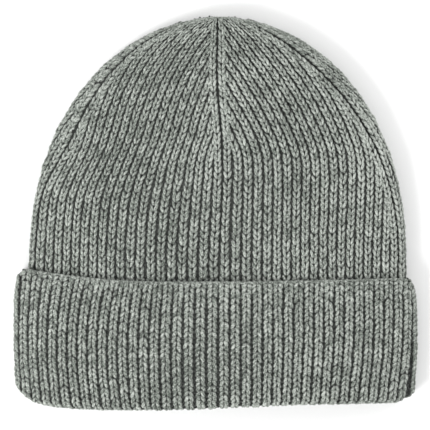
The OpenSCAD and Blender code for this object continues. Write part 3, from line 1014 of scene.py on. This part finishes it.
def cuff_pieces():
    base, inside, fold, edge = Mesh(), Mesh(), Mesh(), Mesh()
    sides = {f"{face}_{hand}": Mesh() for face in ("front", "back") for hand in ("left", "right")}
    girth, length, area = cuff_ground(base)
    fold_length = 11.5  # how much of each rib's path, at its end, is the fold's
    ribs = cuff_path(np.arange(RIBS) + 0.5)
    valleys = cuff_path(np.arange(RIBS) * 1.0)
    for k in range(RIBS):
        points, normals, width = (table[k] for table in ribs)
        run = path_run(points)
        s = (k + 0.5) * RIB
        tone = lambda row, at, s=s: heather_and_painted_light(row + 90, s + 0 * at, at)
        front = BACK_RIBS <= k < RIBS - BACK_RIBS
        name = ("front" if front else "back") + ("_left" if k < RIBS / 2 else "_right")
        body_end = run[-1] - fold_length
        add_rib(sides[name], points, normals, width, CUFF_ROW, tone, last=body_end)
        add_rib(fold, points, normals, width, CUFF_ROW, tone, first=body_end)
        if k == 0:
            continue
        points, normals, width = (table[k] for table in valleys)
        add_bars(base, points, normals, CUFF_ROW, tone, first=4.0)
        shell = slice(len(RIM_TURN), len(RIM_TURN) + len(CUFF_Y) - 2)
        add_rib(
            inside, (points - normals * CUFF_T)[shell], -normals[shell], width[shell] * 0.95, CUFF_ROW,
            tone, plain=True,
        )

    # a twisted cord of yarn runs round the free edge, where the stitches were cast on
    r = np.arange(RIBS * 8 + 1) / 8
    s = cuff_lay(r)
    last = len(CUFF_Y) - 1
    rim, up, _ = cuff_skin.at(last, s[:, -1])
    way = unit(rim - cuff_skin.at(last - 2, s[:, -3])[0])
    rope(edge, rim - up * RIM_R * 1.25 + way * RIM_R * 0.2, up, way, 0.72, 0.45, RIB, 0.45, 2)

    slot = "cuff_knit"
    pieces = [side.build(f"cuff_{name}_stitches", knit, "cuff", slot) for name, side in sides.items()]
    pieces.append(inside.build("cuff_inner_ribs", knit, "cuff", slot))
    pieces.append(fold.build("brim_fold_stitches", knit, "cuff", slot))
    pieces.append(edge.build("cast_on_cord", knit, "cuff", slot))
    # the cuff's ground layer and purl bars take the ground material, whose dark colour is painted shade
    layer = base.build("cuff_ground", ground, "cuff", slot)
    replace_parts(layer, "cuff_band")
    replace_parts(pieces[-2], "brim_fold")
    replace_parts(pieces[-1], "cast_on_edge")


cuff_pieces()


# ---- seams ----
SEAM_HEIGHT = 1.2
SEAM_HALF = 1.3  # half width of a sewn ridge
CHAIN_WIDTH = 2.6  # width of the seam's outer chain, and pitch of the darts' overcast stitches
CHAIN_DEPTH = 0.9  # depth of the chain in its valley


def sew(mesh, name, body, node):
    """Builds a piece of seam yarn, which stands for a CAD node."""
    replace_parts(mesh.build(name, seam_yarn, body, "seam_yarn"), node)


def add_ridge(mesh, points, normals, half, height, pitch, tone=0.45):
    """A sewn ridge that stands on a face: a soft core with overcast stitches across it."""
    run = path_run(points)
    p, up, _, _ = follow(points, normals, np.arange(0.5, run[-1] - 0.5, 1.5))
    n = len(p)
    core = p + up * (height * 0.2)
    add_tubes(
        mesh, core[None], up[None], np.full((1, n), half), np.full((1, n), height * 0.75),
        np.full(1, tone), sides=8, weight=20,
    )
    at = np.arange(1.0, run[-1] - 1.0, pitch)
    at = at + rng.normal(0, 0.1 * pitch, len(at))
    p, up, travel, side = follow(points, normals, at)
    sweep = np.linspace(0.08, 0.92, 6) * np.pi
    cos, sin = np.cos(sweep)[:, None], np.sin(sweep)[:, None]
    up, side, travel = up[:, None], side[:, None], travel[:, None]
    onward = np.linspace(-0.5, 0.5, 6)[:, None] * pitch
    arc = side * (-(half + 0.25) * cos) + up * ((height + 0.15) * sin) + travel * onward
    lift = unit(up * sin - side * cos)
    girth = np.full((len(at), 6), 0.42)
    tones = tone + rng.normal(0.08, 0.05, len(at))
    add_tubes(mesh, p[:, None] + arc, lift, girth, girth, tones, weight=len(at))


def seam_pieces():
    fade = 0.975
    darts = {
        "front_dart": gores["front_right"].lo,
        "left_dart": gores["front_left"].lo,
        "right_dart": gores["front_right"].hi,
    }
    inside = (STATION_Y > DART_START) & (CROWN_PART < fade)
    for name, s in darts.items():
        points, normals, _ = body_skin.at(STATIONS[inside], s[inside])
        mesh = Mesh()
        add_ridge(mesh, points - normals * KNIT_T, -normals, SEAM_HALF, SEAM_HEIGHT, CHAIN_WIDTH)
        sew(mesh, f"{name}_seam_stitches", "hat", f"{name}_seam")

    # the back seam: a fine chain outside, in the valley between the back quarters, and a ridge inside
    mesh = Mesh()
    points, normals, _ = body_skin.at(STATIONS, 0 * STATION_Y)
    inside = CROWN_PART < fade
    back = (points - normals * KNIT_T)[inside]
    add_ridge(mesh, back, -normals[inside], SEAM_HALF, SEAM_HEIGHT, BODY_ROW)
    chain = lambda row, at: 0.5 + 0 * at
    width = np.full(len(points), CHAIN_WIDTH)
    add_rib(mesh, points - normals * CHAIN_DEPTH, normals, width, BODY_ROW, chain)
    sew(mesh, "back_seam_stitches", "hat", "back_seam")

    mesh = Mesh()
    points, normals, _ = (table[0] for table in cuff_path(np.zeros(1)))
    shell = slice(len(RIM_TURN) - 1, len(RIM_TURN) + len(CUFF_Y) - 1)
    width = np.full(len(points), CHAIN_WIDTH)[shell]
    add_rib(mesh, (points - normals * CHAIN_DEPTH)[shell], normals[shell], width, CUFF_ROW, chain)
    inner = (points - normals * (CUFF_T - 0.5))[shell]
    add_rib(mesh, inner, -normals[shell], width, CUFF_ROW, chain, plain=True)
    sew(mesh, "cuff_back_seam_stitches", "cuff", "cuff_back_seam")


seam_pieces()


# ---- the tip: gathered stitches, the drawn thread and its knot ----
THREAD_Y = HAT_LENGTH - KNIT_T - 3.4
THREAD_Z = 8.4
THREAD_R = 1.9
TIP_X = body_lean(HAT_LENGTH)


def gather_piece():
    """Short loops that run in from the crown's last row to the point where they are drawn together."""
    loops = 34
    last = len(STATION_Y) - 1
    s = body_skin.girth[last] * (np.arange(loops) + rng.uniform(-0.2, 0.2, loops)) / loops
    rim, up, _ = body_skin.at(last - 4, s * body_skin.girth[last - 4] / body_skin.girth[last])
    low, high = box_mm("crown_gather")
    middle = np.array([TIP_X, HAT_LENGTH - 0.6, (low[2] + high[2]) / 2])
    t = np.linspace(0, 1, 6)
    start = rim - up * 0.7
    centre = start[:, None] * (1 - t)[None, :, None] + middle * t[None, :, None]
    centre[..., 1] += 0.5 * np.sin(np.pi * t)
    girth = np.broadcast_to(0.62 - 0.30 * t, (loops, 6))
    mesh = Mesh()
    away = unit(centre - (middle - np.array([0, 6.0, 0])))
    add_tubes(mesh, centre, away, girth, girth, 0.5 + rng.normal(0, 0.08, loops), weight=loops)
    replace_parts(mesh.build("crown_gather_loops", knit, "hat", "body_knit"), "crown_gather")


def thread_pieces():
    turn = np.linspace(0, 2 * np.pi, 49)
    ring = np.stack([THREAD_R * np.cos(turn), 0 * turn, THREAD_R * np.sin(turn)], axis=1)
    centre = ring + np.array([TIP_X, THREAD_Y, THREAD_Z])
    mesh = Mesh()
    along_y = np.tile([0.0, 1.0, 0.0], (len(turn), 1))
    rope(mesh, centre, along_y, unit(ring), 0.36, 0.30, 2.4, 0.5, 1)
    sew(mesh, "draw_thread_loop", "hat", "draw_thread")

    # the knot is a tight trefoil of yarn, and its two tails hang into the crown
    mesh = Mesh()
    t = np.linspace(0, 2 * np.pi, 73)
    knot = np.stack([
        np.sin(t) + 1.6 * np.sin(2 * t),
        1.5 * np.sin(3 * t),
        np.cos(t) - 1.6 * np.cos(2 * t),
    ], axis=1) * 0.62
    knot_y = THREAD_Y - 4
    centre = knot + np.array([TIP_X, knot_y, THREAD_Z])
    across = unit(np.cross(np.gradient(knot, axis=0), knot))
    rope(mesh, centre, unit(knot + 1e-3), across, 0.34, 0.26, 2.4, 0.5, 3)
    for hand, out, down, sag in ((1, 1.6, 3.2, 0.10), (-1, 1.3, 4.0, 0.13)):
        t = np.linspace(0, 5, 26)
        x = TIP_X + hand * (0.8 + out * t)
        tail = np.stack([x, knot_y - 1 - down * t, THREAD_Z - sag * t * t], axis=1)
        up = np.tile([0.0, 0.0, 1.0], (len(t), 1))
        rope(mesh, tail, up, unit(np.cross(np.gradient(tail, axis=0), up)), 0.34, 0.28, 2.4, 0.48, 1)
    sew(mesh, "crown_knot_and_tails", "hat", "crown_knot")


gather_piece()
thread_pieces()


# ---- the care label ----
def label_pieces():
    low, high = box_mm("care_label")
    ribbon_t, gap = 0.5, 0.3
    fold = (2 * ribbon_t + gap) / 2
    reach = high[0] - fold

    # the ribbon's middle line: out along the bottom layer, round the fold and back along the top one
    turn = np.linspace(-np.pi / 2, np.pi / 2, 9)[1:-1]
    out = np.linspace(low[0], reach, 24)
    bend = (gap + ribbon_t) / 2
    x = np.concatenate([out, reach + bend * np.cos(turn), out[::-1]])
    z = np.concatenate([0 * out - bend, bend * np.sin(turn), 0 * out + bend]) + low[2] + fold
    curl = 1.4 * smooth((x - low[0] - 10) / (high[0] - low[0] - 10)) ** 2
    y = np.linspace(low[1], high[1], 19)
    wave = 0.12 * np.sin(y[None] * 0.5 + x[:, None] * 0.2) * smooth((x[:, None] - low[0]) / 8)
    middle = np.stack(np.broadcast_arrays(x[:, None], y[None], (z + curl)[:, None] + wave), axis=-1)
    way = np.gradient(middle, axis=0)
    normal = unit(np.cross(np.gradient(middle, axis=1), way))
    mesh = Mesh()
    add_sheet(mesh, middle + normal * ribbon_t / 2, middle - normal * ribbon_t / 2)
    label = mesh.build("care_label_ribbon", ribbon, "hat", "label_ribbon")
    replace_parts(label, "care_label")

    # five stitches hold both layers down beside the seam
    mesh = Mesh()
    low_s, high_s = box_mm("label_stitches")
    stitches, rings = 5, 7
    pitch = (high[1] - low[1]) / stitches
    t = np.linspace(0, 1, rings)
    for k in range(stitches):
        y = low_s[1] + pitch * (k + 0.6 * t)
        z = low_s[2] - 0.25 + 0.45 * np.sin(np.pi * t)
        centre = np.stack([(low_s[0] + high_s[0]) / 2 + 0.1 * rng.normal() + 0 * t, y, z], axis=1)
        girth = np.full((1, rings), 0.26)
        up = np.tile([0.0, 0.0, 1.0], (1, rings, 1))
        add_tubes(mesh, centre[None], up, girth, girth, np.full(1, 0.5))
    stitched = mesh.build("label_holding_stitches", thread, "hat", "label_thread")
    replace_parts(stitched, "label_stitches")


label_pieces()
